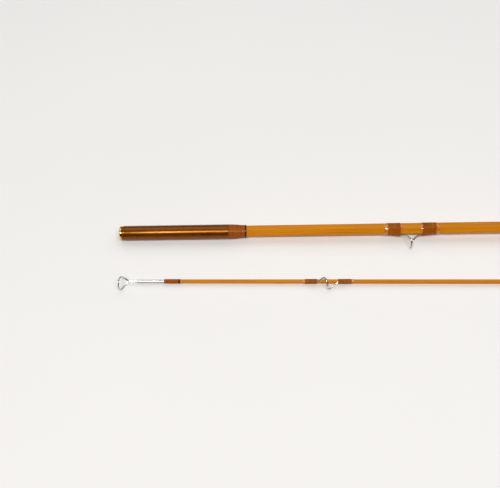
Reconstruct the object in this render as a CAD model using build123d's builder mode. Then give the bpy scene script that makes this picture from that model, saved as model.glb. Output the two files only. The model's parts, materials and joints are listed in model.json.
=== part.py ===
from build123d import *
import math
import os

os.makedirs("parts", exist_ok=True)

# Two-piece split-cane fly rod, taken down, its two sections lying side by side on a flat surface.
# Each section is modelled along its own X axis, which starts at its thin end, with +Z on the side
# of the guides. It is then laid down on the surface by one plane. Millimetres throughout.

# ---------- the rod ----------
section_length = 1157.0
ferrule_depth = 28.0          # how far one section goes into the other

# ---------- how the sections lie ----------
section_gap = 26.0           # between the two axes at the thin ends
tip_ahead = 1.15              # the tip section's end lies this far in from the ferrule's mouth
tip_heading = -0.80           # degrees, the tip section runs away from the butt section
butt_roll = 107.0             # degrees, from straight up towards -Y, of the butt section's guides
tip_roll = 46.0

# ---------- cane: distance along the section, width across the flats ----------
butt_cane = [(30.5, 5.20), (200.0, 5.40), (480.0, 6.30), (890.0, 7.90), (1148.0, 8.20)]
tip_cane = [(12.0, 1.78), (190.0, 2.05), (1140.0, 5.15)]
strips = 6
thread = 0.22                 # silk and varnish over the cane
tip_thread = 0.15             # the same at the tip-top

# ---------- female ferrule ----------
welt_length, welt_radius, welt_seat = 2.3, 3.55, 3.12
welt_groove = (0.9, 1.5, 3.38)
socket_radius = 2.80
plug_length = 2.0
cane_socket = 3.14
tube_radius = 3.65
tube_end, tabs_end = 54.5, 60.0
tabs_root_radius, tabs_tip_radius = 3.42, 3.20
tabs, tab_slot = 6, 0.35
butt_wrap_end, butt_trim_end = 62.7, 63.4

# ---------- male ferrule ----------
slide_radius = 2.775
slide_length = 28.5
barrel_radius, barrel_length = 2.98, 28.0
slide_bore = 2.30
tip_tenon = 2.28
tip_wrap_length, tip_trim_length = 12.0, 0.8

# ---------- tip-top ----------
loop_wire = 0.32
loop_half_width, loop_corner_rise, loop_rise = 3.35, 2.1, 5.8
loop_neck = 5.0
tip_tube_start, tip_tube_end, tip_tube_radius = 8.5, 21.9, 0.80
tip_tube_bore, tip_cane_end = 0.62, 12.0
tip_wrap_end, tip_trim_end = 28.8, 29.6

# ---------- snake guides ----------
# gap: between the two wraps; crown: height over the cane; lean: how far the crown is behind the gap's
# middle; sides: how far behind and ahead of the crown the wire is at its widest; left, right: wraps
guide_spread = 2.9            # of the wire, to either side
butt_guide = dict(
    gap=(140.8, 151.2), crown=7.3, sides=(0.5, 1.2), lean=0.25, wire=0.375, left=7.1, right=7.7)
tip_guides = [
    dict(gap=(96.5, 106.7), crown=3.7, sides=(1.2, 0.9), lean=0.6, wire=0.36, left=6.1, right=6.7),
    dict(gap=(211.4, 221.6), crown=4.2, sides=(1.2, 0.9), lean=0.6, wire=0.36, left=6.2, right=6.8),
    dict(gap=(338.3, 348.7), crown=4.7, sides=(1.1, 0.9), lean=0.6, wire=0.36, left=6.4, right=6.9),
    dict(gap=(484.2, 494.8), crown=5.2, sides=(1.0, 1.0), lean=0.5, wire=0.365, left=6.6, right=7.1),
    dict(gap=(643.1, 653.9), crown=5.7, sides=(0.9, 1.0), lean=0.5, wire=0.365, left=6.8, right=7.3),
    dict(gap=(820.9, 831.7), crown=6.2, sides=(0.8, 1.1), lean=0.4, wire=0.37, left=7.0, right=7.5),
    dict(gap=(1011.0, 1021.6), crown=6.8, sides=(0.6, 1.2), lean=0.3, wire=0.375, left=7.1, right=7.7),
]
side_height = 0.5             # of the crown's height, where the wire is at its widest
foot_width, foot_height = 1.0, 0.45
toe_cover = 0.8               # wrap beyond the foot's toe

# ---------- stripping guide ----------
strip_at = 420.0
ring_bore, ring_radius, ring_width = 3.1, 4.25, 2.6
bezel_radius = 4.7
ring_height = 9.4             # from the cane's axis
leg_wire, leg_side, leg_angle = 0.40, 0.45, 35.0
leg_reach, strip_foot, strip_foot_width, strip_foot_height = 9.0, 10.0, 1.8, 0.9
strip_wrap = 12.5

# ---------- hook keeper ----------
keeper_at = 862.0
keeper_half_width, keeper_metal = 0.9, 0.3
keeper_arch, keeper_foot = 1.5, 5.5
keeper_ring_radius, keeper_ring_wire = 2.4, 0.35
keeper_wrap = 6.5

# ---------- grip ----------
check_start, check_front, check_back = 884.0, 5.3, 6.7
grip_start, cork_rings, cork_ring = 889.0, 13, 12.7
cork_bore = 4.78
grip_outline = [(0.0, 7.2), (14.0, 8.6), (58.0, 12.4), (100.0, 11.2), (140.0, 10.3), (165.1, 10.9)]

# ---------- reel seat ----------
seat_start = grip_start + cork_rings * cork_ring
sleeve_length, sleeve_bore, sleeve_radius = 31.0, 7.6, 8.25
spacer_radius, spacer_bore, tenon_radius = 8.15, 4.03, 4.0
spacer_end = 1146.0
foot_flat = 7.6               # height of the flat that the reel foot rests on
nut_start, nut_length, nut_radius = seat_start + 2.0, 8.0, 10.3
thread_pitch, nut_turns = 1.25, 10
running_bore = sleeve_radius + 0.05
knurls, knurl = 36, 0.4
hood_length, hood_ring, hood_gap = 16.0, 5.0, 0.1
hood_radius, hood_wall, pocket_radius, pocket_rise = 9.5, 0.85, 9.05, 4.4
cap_start, cap_pocket, cap_end = 1136.0, 10.0, section_length
cap_radius, cap_flat = 9.5, 6.5
pin_radius, pin_at, pin_depth = 0.8, 1142.5, 6.6

hex_corner = 1 / math.sqrt(3)


def flats_at(cane, along):
    """Width across the flats of a cane at a distance along its section."""
    for (start, low), (end, high) in zip(cane, cane[1:]):
        if along <= end:
            return low + (high - low) * (along - start) / (end - start)
    return cane[-1][1]


def corner(flats, index):
    angle = math.radians(60 * index)
    return (flats * hex_corner * math.cos(angle), flats * hex_corner * math.sin(angle))


def cane_body(cane):
    """The whole hexagonal cane, which wraps and fittings are cut to fit."""
    with BuildPart() as body:
        for along, flats in cane:
            with BuildSketch(Plane.YZ.offset(along)):
                Polygon(*[corner(flats, index) for index in range(6)], align=None)
        loft(ruled=True)
    return body.part


def cane_strip(cane, index, turned):
    """One of the six glued strips, with its ends turned down to the radii given."""
    with BuildPart() as strip:
        for along, flats in cane:
            with BuildSketch(Plane.YZ.offset(along)):
                Polygon((0, 0), corner(flats, index), corner(flats, index + 1), align=None)
        loft(ruled=True)
        with BuildSketch(Plane.XZ):
            with BuildLine():
                Polyline(*turned, close=True)
            make_face()
        revolve(axis=Axis.X, mode=Mode.INTERSECT)
    return strip


def turned_piece(outline):
    """A solid turned about the rod's axis from its outline of (distance, radius)."""
    with BuildPart() as piece:
        with BuildSketch(Plane.XZ):
            with BuildLine():
                Polyline(*outline, close=True)
            make_face()
        revolve(axis=Axis.X)
    return piece


def wrap_over(outline, *inside):
    """A silk wrap turned to its outline and cut back from the pieces under it."""
    with BuildPart() as wrap:
        with BuildSketch(Plane.XZ):
            with BuildLine():
                Polyline(*outline, close=True)
            make_face()
        revolve(axis=Axis.X)
        for piece in inside:
            add(piece, mode=Mode.SUBTRACT)
    return wrap


def cane_sleeve(start, end, cover):
    """A short silk wrap that keeps the six sides of the tip cane under it."""
    with BuildPart() as sleeve:
        for along in (start, end):
            flats = flats_at(tip_cane, along)
            with BuildSketch(Plane.YZ.offset(along)):
                Polygon(*[corner(flats + 2 * cover, index) for index in range(6)], align=None)
                Polygon(
                    *[corner(flats, index) for index in range(6)], align=None, mode=Mode.SUBTRACT,
                )
        loft(ruled=True)
    return sleeve


def foot_outline(heel, toe, flat, height):
    """Side view of a guide foot that thins towards its toe."""
    step = 0.6 * (toe - heel)
    return [
        (heel, flat), (toe, flat), (toe, flat + 0.15), (heel + step, flat + height), (heel, flat + height),
    ]


def snake_guide(guide, cane):
    """One wire from foot to foot: up one side of the cane, over the crown, down the other side."""
    start, end = guide["gap"]
    wire, spread = guide["wire"], guide_spread
    flat = flats_at(cane, end + guide["right"]) / 2 + 0.01
    low = flat + wire
    high = flat + guide["crown"] - wire
    middle = (start + end) / 2 - guide["lean"]
    behind, ahead = guide["sides"]
    side = low + side_height * (high - low)
    with BuildPart() as snake:
        for heel, toe in ((start + 0.2, start - guide["left"] + toe_cover),
                          (end - 0.2, end + guide["right"] - toe_cover)):
            with BuildSketch(Plane.XZ):
                with BuildLine():
                    Polyline(*foot_outline(heel, toe, flat, foot_height), close=True)
                make_face()
            extrude(amount=foot_width / 2, both=True)
        with BuildLine() as path:
            Spline(
                (start - 0.4, 0, low),
                (middle - behind, spread, side),
                (middle, 0, high),
                (middle + ahead, -spread, side),
                (end + 0.4, 0, low),
                tangents=[(1, 0.25, 0), (1, 0.25, 0)],
            )
        with BuildSketch(Plane(origin=path.line @ 0, z_dir=path.line % 0)):
            Circle(wire)
        sweep(path=path.line)
    return snake


def guide_wraps(spans, cane, body, guide, width=foot_width, height=foot_height):
    """The silk over both feet of a guide, cut back from the cane and from the feet."""
    with BuildPart() as wraps:
        for start, end in spans:
            flats = flats_at(cane, end) + 2 * thread
            shoulder = width / 2 + thread / 2
            top = flats / 2 + height
            with BuildSketch(Plane.YZ.offset(start)):
                Polygon(
                    corner(flats, 0), corner(flats, 1), (shoulder, top), (-shoulder, top),
                    corner(flats, 2), corner(flats, 3), corner(flats, 4), corner(flats, 5), align=None,
                )
            extrude(amount=end - start)
        add(body, mode=Mode.SUBTRACT)
        add(guide, mode=Mode.SUBTRACT)
    return wraps


butt_pieces = []
tip_pieces = []
hood_pieces = []
butt_body = cane_body(butt_cane)
tip_body = cane_body(tip_cane)


def keep(pieces, builder, label):
    builder.part.label = label
    pieces.append(builder)


# ================= butt section =================

clear = 20.0                  # wider than any cane
butt_turned = [
    (0, 0), (0, cane_socket - 0.02), (tabs_end + 0.5, cane_socket - 0.02), (tabs_end + 0.5, clear),
    (seat_start, clear), (seat_start, tenon_radius), (spacer_end, tenon_radius), (spacer_end, 0),
]
for number in range(strips):
    butt_strip = cane_strip(butt_cane, number, butt_turned)
    keep(butt_pieces, butt_strip, f"butt_strip_{number + 1}")

# Female ferrule: a tube with the socket at its mouth and the cane glued in behind the plug.
plug_end = ferrule_depth + plug_length
with BuildPart() as female_ferrule:
    with BuildSketch(Plane.XZ):
        with BuildLine():
            Polyline(
                (0, socket_radius), (0, welt_seat), (welt_length, welt_seat), (welt_length, tube_radius),
                (tube_end, tube_radius), (tube_end, tabs_root_radius), (tabs_end, tabs_tip_radius),
                (tabs_end, cane_socket), (ferrule_depth, cane_socket),
                (ferrule_depth, socket_radius), close=True,
            )
        make_face()
    revolve(axis=Axis.X)
    with BuildSketch(Plane.YZ.offset(tube_end + 1.0)):
        for number in range(tabs // 2):
            with Locations(Rotation(0, 0, 360 / tabs * number)):
                Rectangle(4 * tube_radius, tab_slot)
    extrude(amount=tabs_end - tube_end, mode=Mode.SUBTRACT)
keep(butt_pieces, female_ferrule, "female_ferrule")

groove_start, groove_end, groove_radius = welt_groove
ferrule_welt = turned_piece([
    (0, welt_seat), (0, welt_radius - 0.25), (0.25, welt_radius), (groove_start, welt_radius),
    (groove_start, groove_radius), (groove_end, groove_radius), (groove_end, welt_radius + 0.03),
    (welt_length, welt_radius + 0.03), (welt_length, welt_seat),
])
keep(butt_pieces, ferrule_welt, "ferrule_welt")

moisture_plug = turned_piece([
    (ferrule_depth, 0), (ferrule_depth, cane_socket), (plug_end, cane_socket), (plug_end, 0),
])
keep(butt_pieces, moisture_plug, "moisture_plug")

butt_ferrule_wrap = wrap_over(
    [(tube_end, 0), (tube_end, tube_radius), (tabs_end, 3.44), (butt_wrap_end, 3.33), (butt_wrap_end, 0)],
    female_ferrule.part, butt_body,
    Solid.make_cylinder(cane_socket, tabs_end - tube_end, Plane.YZ.offset(tube_end)),
)
keep(butt_pieces, butt_ferrule_wrap, "butt_ferrule_wrap")

butt_ferrule_trim = wrap_over(
    [(butt_wrap_end, 0), (butt_wrap_end, 3.33), (butt_trim_end, 3.30), (butt_trim_end, 0)], butt_body,
)
keep(butt_pieces, butt_ferrule_trim, "butt_ferrule_trim")

butt_snake_guide = snake_guide(butt_guide, butt_cane)
keep(butt_pieces, butt_snake_guide, "butt_snake_guide")

gap_start, gap_end = butt_guide["gap"]
butt_snake_wraps = guide_wraps(
    [(gap_start - butt_guide["left"], gap_start), (gap_end, gap_end + butt_guide["right"])],
    butt_cane, butt_body, butt_snake_guide.part,
)
keep(butt_pieces, butt_snake_wraps, "butt_snake_wraps")

# Stripping guide: an agate ring in a bezel on four wire legs and two feet.
strip_flat = flats_at(butt_cane, strip_at + leg_reach + strip_foot) / 2 + 0.01
ring_axis = Axis((0, 0, ring_height), (1, 0, 0))
bezel_middle = (ring_radius + bezel_radius) / 2
leg_end_across = bezel_middle * math.cos(math.radians(leg_angle))
leg_end_height = ring_height - bezel_middle * math.sin(math.radians(leg_angle))
with BuildPart() as stripping_guide_frame:
    with BuildSketch(Plane.XZ):
        with Locations((strip_at, ring_height + bezel_middle)):
            Rectangle(ring_width - 0.6, bezel_radius - ring_radius)
    revolve(axis=ring_axis)
    for way in (-1, 1):
        heel = strip_at + way * leg_reach
        with BuildSketch(Plane.XZ):
            with BuildLine():
                Polyline(
                    *foot_outline(heel - way * 1.5, heel + way * strip_foot, strip_flat, strip_foot_height),
                    close=True,
                )
            make_face()
        extrude(amount=strip_foot_width / 2, both=True)
        for side in (-1, 1):
            with BuildLine() as leg:
                Spline(
                    (heel, side * leg_side, strip_flat + strip_foot_height / 2),
                    (strip_at + way * 4.4, side * 2.3, strip_flat + 2.0),
                    (strip_at + way * 0.4, side * leg_end_across, leg_end_height),
                    tangents=[(-way, 0, 0.05), (-way * 0.7, -side * 0.3, 0.65)],
                )
            with BuildSketch(Plane(origin=leg.line @ 0, z_dir=leg.line % 0)):
                Circle(leg_wire)
            sweep(path=leg.line)
    with Locations(Location((strip_at, 0, ring_height), (0, 90, 0))):
        Cylinder(ring_radius, 3 * ring_width, mode=Mode.SUBTRACT)
keep(butt_pieces, stripping_guide_frame, "stripping_guide_frame")

with BuildPart() as stripping_guide_ring:
    with BuildSketch(Plane.XZ):
        with Locations((strip_at, ring_height + (ring_bore + ring_radius) / 2)):
            RectangleRounded(ring_width, ring_radius - ring_bore, 0.35)
    revolve(axis=ring_axis)
keep(butt_pieces, stripping_guide_ring, "stripping_guide_ring")

stripping_guide_wraps = guide_wraps(
    [(strip_at - leg_reach - strip_wrap + 1.7, strip_at - leg_reach + 0.2),
     (strip_at + leg_reach - 0.2, strip_at + leg_reach + strip_wrap - 1.7)],
    butt_cane, butt_body, stripping_guide_frame.part, strip_foot_width, strip_foot_height,
)
keep(butt_pieces, stripping_guide_wraps, "stripping_guide_wraps")

# Hook keeper: a bent strap whose arch holds a small ring that swings to either side.
keeper_flat = flats_at(butt_cane, keeper_at + keeper_foot) / 2 + 0.01
arch_half = 1.0
with BuildPart() as hook_keeper_strap:
    with BuildSketch(Plane.XZ):
        with BuildLine():
            Polyline(
                (keeper_at - keeper_foot, keeper_flat), (keeper_at - arch_half, keeper_flat),
                (keeper_at - arch_half, keeper_flat + keeper_arch - keeper_metal),
                (keeper_at + arch_half, keeper_flat + keeper_arch - keeper_metal),
                (keeper_at + arch_half, keeper_flat), (keeper_at + keeper_foot, keeper_flat),
                (keeper_at + keeper_foot, keeper_flat + keeper_metal),
                (keeper_at + arch_half + keeper_metal, keeper_flat + keeper_metal),
                (keeper_at + arch_half + keeper_metal, keeper_flat + keeper_arch),
                (keeper_at - arch_half - keeper_metal, keeper_flat + keeper_arch),
                (keeper_at - arch_half - keeper_metal, keeper_flat + keeper_metal),
                (keeper_at - keeper_foot, keeper_flat + keeper_metal), close=True,
            )
        make_face()
    extrude(amount=keeper_half_width, both=True)
keep(butt_pieces, hook_keeper_strap, "hook_keeper_strap")

keeper_pivot = keeper_flat + (keeper_arch - keeper_metal) / 2
ring_centre = keeper_pivot + keeper_ring_radius - 0.08
with BuildPart() as hook_keeper_ring:
    with Locations(Location((keeper_at, 0, ring_centre), (0, 90, 0))):
        Torus(keeper_ring_radius, keeper_ring_wire)
hook_keeper_ring.part.label = "hook_keeper_ring"

hook_keeper_wraps = guide_wraps(
    [(keeper_at - keeper_foot - 2.0, keeper_at - arch_half - keeper_metal - 0.7),
     (keeper_at + arch_half + keeper_metal + 0.7, keeper_at + keeper_foot + 2.0)],
    butt_cane, butt_body, hook_keeper_strap.part, width=2 * keeper_half_width, height=keeper_metal,
)
keep(butt_pieces, hook_keeper_wraps, "hook_keeper_wraps")

check_bore = flats_at(butt_cane, grip_start) * hex_corner + 0.02
winding_check = turned_piece([
    (check_start, check_bore), (check_start, check_front), (check_start + 0.8, check_front + 0.5),
    (check_start + 1.4, check_front + 0.3), (grip_start - 1.2, check_back - 0.2),
    (grip_start - 0.6, check_back), (grip_start, check_back), (grip_start, check_bore),
])
keep(butt_pieces, winding_check, "winding_check")

# Grip: cork rings glued face to face and turned to one smooth swell.
with BuildPart() as grip_cork_rings:
    with BuildSketch(Plane.XZ) as grip_side:
        with BuildLine():
            Line((grip_start, cork_bore), (grip_start, grip_outline[0][1]))
            Spline(*[(grip_start + along, radius) for along, radius in grip_outline])
            Line((seat_start, grip_outline[-1][1]), (seat_start, cork_bore))
            Line((seat_start, cork_bore), (grip_start, cork_bore))
        make_face()
    revolve(axis=Axis.X)
    for number in range(1, cork_rings):
        split(bisect_by=Plane.YZ.offset(grip_start + number * cork_ring), keep=Keep.BOTH)
keep(butt_pieces, grip_cork_rings, "grip_cork_rings")

# Reel seat: a wooden spacer, half of it under the threaded sleeve, with a flat for the reel foot.
sleeve_end = seat_start + sleeve_length
with BuildPart() as seat_spacer:
    with BuildSketch(Plane.XZ):
        with BuildLine():
            Polyline(
                (seat_start, spacer_bore), (seat_start, sleeve_bore), (sleeve_end, sleeve_bore),
                (sleeve_end, spacer_radius), (spacer_end, spacer_radius), (spacer_end, spacer_bore),
                close=True,
            )
        make_face()
    revolve(axis=Axis.X)
    with Locations((sleeve_end, 0, foot_flat)):
        Box(
            spacer_end - sleeve_end, 2 * spacer_radius, spacer_radius,
            align=(Align.MIN, Align.CENTER, Align.MIN), mode=Mode.SUBTRACT,
        )
    for side in (-1, 1):
        with Locations(Location((pin_at, side * pin_depth, 0), (90 * side, 0, 0))):
            Cylinder(
                pin_radius, spacer_radius, align=(Align.CENTER, Align.CENTER, Align.MAX),
                mode=Mode.SUBTRACT,
            )
keep(butt_pieces, seat_spacer, "seat_spacer")

seat_sleeve = turned_piece([
    (seat_start, sleeve_bore), (seat_start, sleeve_radius), (sleeve_end - 0.4, sleeve_radius),
    (sleeve_end, sleeve_radius - 0.4), (sleeve_end, sleeve_bore),
])
keep(butt_pieces, seat_sleeve, "seat_sleeve")

# Butt cap: closed end, a round wall over the spacer and a raised pocket for the reel foot.
with BuildPart() as butt_cap:
    with BuildSketch(Plane.YZ.offset(cap_start)):
        Circle(cap_radius)
        with Locations((0, pocket_rise)):
            Circle(pocket_radius + hood_wall)
    extrude(amount=cap_pocket + 4.0)
    with BuildSketch(Plane.YZ.offset(cap_start)):
        Circle(spacer_radius + 0.01)
        with Locations((0, pocket_rise)):
            Circle(pocket_radius)
    extrude(amount=cap_pocket, mode=Mode.SUBTRACT)
    with BuildSketch(Plane.XZ):
        with BuildLine():
            Polyline(
                (cap_start + cap_pocket, 0), (cap_start + cap_pocket, cap_radius),
                (cap_end - 5.0, cap_radius), (cap_end - 4.2, cap_radius - 0.6),
                (cap_end - 3.0, cap_radius), (cap_end - 1.0, cap_radius - 0.8),
                (cap_end, cap_flat), (cap_end, 0), close=True,
            )
        make_face()
    revolve(axis=Axis.X)
    for side in (-1, 1):
        with Locations(Location((pin_at, side * pin_depth, 0), (90 * side, 0, 0))):
            Cylinder(
                pin_radius, spacer_radius, align=(Align.CENTER, Align.CENTER, Align.MAX),
                mode=Mode.SUBTRACT,
            )
keep(butt_pieces, butt_cap, "butt_cap")

with BuildPart() as butt_cap_pins:
    for side in (-1, 1):
        with Locations(Location((pin_at, side * pin_depth, 0), (90 * side, 0, 0))):
            Cylinder(
                pin_radius, cap_radius - pin_depth + 0.1,
                align=(Align.CENTER, Align.CENTER, Align.MAX),
            )
keep(butt_pieces, butt_cap_pins, "butt_cap_pins")

# Lock nut and sliding hood, drawn back towards the grip as they are with no reel in the seat.
with BuildPart() as lock_nut:
    with BuildSketch(Plane.YZ.offset(nut_start)):
        Circle(nut_radius)
        Circle(running_bore, mode=Mode.SUBTRACT)
        with PolarLocations(nut_radius + 0.1, knurls):
            Circle(knurl, mode=Mode.SUBTRACT)
    extrude(amount=nut_length - 2.0)
    with BuildSketch(Plane.YZ.offset(nut_start + nut_length - 2.0)):
        Circle(nut_radius - 0.8)
        Circle(running_bore, mode=Mode.SUBTRACT)
    extrude(amount=2.0)
lock_nut.part.label = "lock_nut"

hood_start = nut_start + nut_length + hood_gap
with BuildPart() as sliding_hood:
    with BuildSketch(Plane.YZ.offset(hood_start)):
        Circle(hood_radius)
    extrude(amount=hood_ring)
    with BuildSketch(Plane.YZ.offset(hood_start + hood_ring)):
        Circle(hood_radius)
        with Locations((0, pocket_rise)):
            Circle(pocket_radius + hood_wall)
    extrude(amount=hood_length - hood_ring)
    with BuildSketch(Plane.YZ.offset(hood_start + hood_ring + 1.0)):
        with Locations((0, pocket_rise)):
            Circle(pocket_radius)
    extrude(amount=hood_length - hood_ring - 1.0, mode=Mode.SUBTRACT)
    with BuildSketch(Plane.YZ.offset(hood_start)):
        Circle(running_bore)
    extrude(amount=hood_length, mode=Mode.SUBTRACT)
sliding_hood.part.label = "sliding_hood"

# ================= tip section =================

barrel_end = section_length - slide_length
barrel_start = barrel_end - barrel_length
tip_turned = [
    (0, 0), (0, tip_tube_bore - 0.01), (tip_tube_end, tip_tube_bore - 0.01), (tip_tube_end, clear),
    (barrel_start, clear), (barrel_start, tip_tenon), (section_length, tip_tenon), (section_length, 0),
]
for number in range(strips):
    tip_strip = cane_strip(tip_cane, number, tip_turned)
    keep(tip_pieces, tip_strip, f"tip_strip_{number + 1}")

# Tip-top: a pear-shaped wire loop whose two ends lie side by side in a thin tube.
leg_across = loop_wire + 0.005
with BuildPart() as tip_top_loop:
    with BuildLine() as loop_path:
        Line((tip_tube_start + 2.0, -leg_across, 0), (loop_neck, -leg_across, 0))
        Spline(
            (loop_neck, -leg_across, 0),
            (1.45, -loop_half_width + loop_wire, loop_corner_rise),
            (loop_wire + 0.1, -1.9, loop_rise - 0.75),
            (loop_wire, 0, loop_rise - loop_wire),
            (loop_wire + 0.1, 1.9, loop_rise - 0.75),
            (1.45, loop_half_width - loop_wire, loop_corner_rise),
            (loop_neck, leg_across, 0),
            tangents=[(-1, 0, 0), (1, 0, 0)],
        )
        Line((loop_neck, leg_across, 0), (tip_tube_start + 2.0, leg_across, 0))
    with BuildSketch(Plane(origin=loop_path.line @ 0, z_dir=loop_path.line % 0)):
        Circle(loop_wire)
    sweep(path=loop_path.line)
keep(tip_pieces, tip_top_loop, "tip_top_loop")

tip_top_tube = turned_piece([
    (tip_tube_start, 2 * leg_across + 0.01), (tip_tube_start, tip_tube_radius),
    (tip_tube_end, tip_tube_radius), (tip_tube_end, tip_tube_bore),
    (tip_cane_end, tip_tube_bore), (tip_cane_end, 2 * leg_across + 0.01),
])
keep(tip_pieces, tip_top_tube, "tip_top_tube")

tip_top_wrap = cane_sleeve(tip_tube_end, tip_wrap_end, tip_thread)
keep(tip_pieces, tip_top_wrap, "tip_top_wrap")

tip_top_trim = cane_sleeve(tip_wrap_end, tip_trim_end, tip_thread + 0.01)
keep(tip_pieces, tip_top_trim, "tip_top_trim")

for number, guide in enumerate(tip_guides, start=1):
    tip_snake_guide = snake_guide(guide, tip_cane)
    keep(tip_pieces, tip_snake_guide, f"tip_snake_guide_{number}")
    gap_start, gap_end = guide["gap"]
    tip_snake_wraps = guide_wraps(
        [(gap_start - guide["left"], gap_start), (gap_end, gap_end + guide["right"])],
        tip_cane, tip_body, tip_snake_guide.part,
    )
    keep(tip_pieces, tip_snake_wraps, f"tip_snake_wraps_{number}")

# Male ferrule: the bright slide that goes into the socket, and the barrel glued over the cane.
tabs_start = barrel_start + 6.0
with BuildPart() as male_ferrule:
    with BuildSketch(Plane.XZ):
        with BuildLine():
            Polyline(
                (barrel_start, tip_tenon + 0.02), (barrel_start, tip_tenon + 0.30),
                (tabs_start, barrel_radius - 0.25), (tabs_start, barrel_radius),
                (barrel_end - 0.4, barrel_radius), (barrel_end, slide_radius),
                (section_length - 0.3, slide_radius), (section_length, slide_radius - 0.3),
                (section_length, slide_bore), close=True,
            )
        make_face()
    revolve(axis=Axis.X)
    with BuildSketch(Plane.YZ.offset(barrel_start)):
        for number in range(tabs // 2):
            with Locations(Rotation(0, 0, 360 / tabs * number)):
                Rectangle(4 * tube_radius, tab_slot)
    extrude(amount=5.0, mode=Mode.SUBTRACT)
keep(tip_pieces, male_ferrule, "male_ferrule")

male_ferrule_plug = turned_piece([
    (section_length - plug_length, 0), (section_length - plug_length, slide_bore - 0.01),
    (section_length, slide_bore - 0.01), (section_length, 0),
])
keep(tip_pieces, male_ferrule_plug, "male_ferrule_plug")

tip_ferrule_wrap_start = tabs_start - tip_wrap_length
tip_ferrule_wrap = wrap_over(
    [(tip_ferrule_wrap_start, 0), (tip_ferrule_wrap_start, 3.2), (barrel_start, 3.2),
     (tabs_start, barrel_radius), (tabs_start, 0)],
    male_ferrule.part, tip_body,
    Solid.make_cylinder(tip_tenon + 0.02, tabs_start - barrel_start, Plane.YZ.offset(barrel_start)),
)
keep(tip_pieces, tip_ferrule_wrap, "tip_ferrule_wrap")

tip_ferrule_trim_start = tip_ferrule_wrap_start - tip_trim_length
tip_ferrule_trim = wrap_over(
    [(tip_ferrule_trim_start, 0), (tip_ferrule_trim_start, 3.18), (tip_ferrule_wrap_start, 3.2),
     (tip_ferrule_wrap_start, 0)],
    tip_body,
)
keep(tip_pieces, tip_ferrule_trim, "tip_ferrule_trim")

# ================= laying the sections down =================


def lying(end, heading, slope, roll):
    """The plane of a section whose thin end is at a point, with its guides rolled towards -Y."""
    head, rise, turn = math.radians(heading), math.radians(slope), math.radians(roll)
    along = Vector(math.cos(head) * math.cos(rise), math.sin(head) * math.cos(rise), math.sin(rise))
    across = Vector(-math.sin(head), math.cos(head), 0)
    up = along.cross(across)
    return Plane(origin=end, x_dir=along, z_dir=up * math.cos(turn) - across * math.sin(turn))


swell_along, swell_radius = max(grip_outline, key=lambda point: point[1])
butt_slope = math.degrees(math.atan2(
    swell_radius - tube_radius, grip_start + swell_along - welt_length))
butt_plane = lying((0, 0, tube_radius), 0.0, butt_slope, butt_roll)

tip_low, tip_high = 1.34, 3.22
tip_slope = math.degrees(math.atan2(tip_high - tip_low, tip_ferrule_wrap_start - tip_wrap_end))
tip_plane = lying((tip_ahead, -section_gap, tip_low), tip_heading, tip_slope, tip_roll)

butt_pieces += [hook_keeper_ring, sliding_hood, lock_nut]
laid = [(builder.part.label, builder.part.moved(butt_plane.location)) for builder in butt_pieces]
laid += [(builder.part.label, builder.part.moved(tip_plane.location)) for builder in tip_pieces]

whole = Compound([shape for label, shape in laid]).bounding_box()
middle = Location((-whole.center().X, -whole.center().Y, -whole.min.Z))
for label, shape in laid:
    placed = shape.moved(middle)
    placed.label = label
    export_step(placed, f"parts/{label}.step")
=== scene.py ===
import json
import math

import bmesh
import bpy
import numpy as np
from mathutils import Matrix, Vector


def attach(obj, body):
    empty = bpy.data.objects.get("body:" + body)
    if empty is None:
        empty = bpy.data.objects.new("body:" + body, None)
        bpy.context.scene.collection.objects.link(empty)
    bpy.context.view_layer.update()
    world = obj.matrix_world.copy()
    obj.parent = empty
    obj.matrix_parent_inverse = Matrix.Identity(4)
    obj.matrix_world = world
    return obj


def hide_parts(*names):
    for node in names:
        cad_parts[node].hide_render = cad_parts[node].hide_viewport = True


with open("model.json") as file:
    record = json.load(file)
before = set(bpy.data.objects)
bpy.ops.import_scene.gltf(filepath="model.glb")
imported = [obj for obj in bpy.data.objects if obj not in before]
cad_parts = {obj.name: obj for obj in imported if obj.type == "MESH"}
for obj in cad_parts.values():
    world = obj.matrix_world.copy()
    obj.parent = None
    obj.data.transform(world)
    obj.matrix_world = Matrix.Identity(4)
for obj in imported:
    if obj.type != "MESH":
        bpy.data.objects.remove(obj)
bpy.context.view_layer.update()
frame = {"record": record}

rng = np.random.default_rng(7)

# Sizes along and across the rod are in millimetres, in the frame of one rod section: x along it
# from its thin end, z towards its guides. A Section turns them into metres in the shared frame.
MM = 0.001


# ---------- the two sections ----------

class Section:
    """The place of one rod section, from its ferrule mount and the direction of its guides."""

    def __init__(self, body, mount, mount_along, points_out, roll):
        self.body = body
        self.along = Vector(mount["axis"]).normalized() * points_out
        across = side_of(roll, self.along).cross(self.along).normalized()
        up = self.along.cross(across)
        origin = Vector(mount["pos_m"]) - self.along * mount_along * MM
        turn = Matrix((self.along, across, up)).transposed().to_4x4()
        self.matrix = Matrix.Translation(origin) @ turn @ Matrix.Scale(MM, 4)

    def place(self, points):
        flat = np.asarray(points, float).reshape(-1, 3)
        matrix = np.array(self.matrix)
        return flat @ matrix[:3, :3].T + matrix[:3, 3]


def side_of(roll, along):
    """Direction of the guides, rolled in degrees from straight up towards -Y about the section."""
    level = Vector((-along[1], along[0], 0)).normalized()
    up = Vector(along).cross(level)
    return up * math.cos(math.radians(roll)) - level * math.sin(math.radians(roll))


SECTION_LENGTH = 1157.0
FERRULE_DEPTH = 28.0
SLIDE_MOUNT = 1145.0
BUTT_ROLL, TIP_ROLL = 107.0, 46.0
mounts = {mount["name"]: mount for mount in frame["record"]["mounts"]}
BUTT = Section("butt_section", mounts["ferrule_socket"], FERRULE_DEPTH / 2, -1, BUTT_ROLL)
TIP = Section("tip_section", mounts["ferrule_slide"], SLIDE_MOUNT, 1, TIP_ROLL)


# ---------- camera, lights and floor ----------

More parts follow.
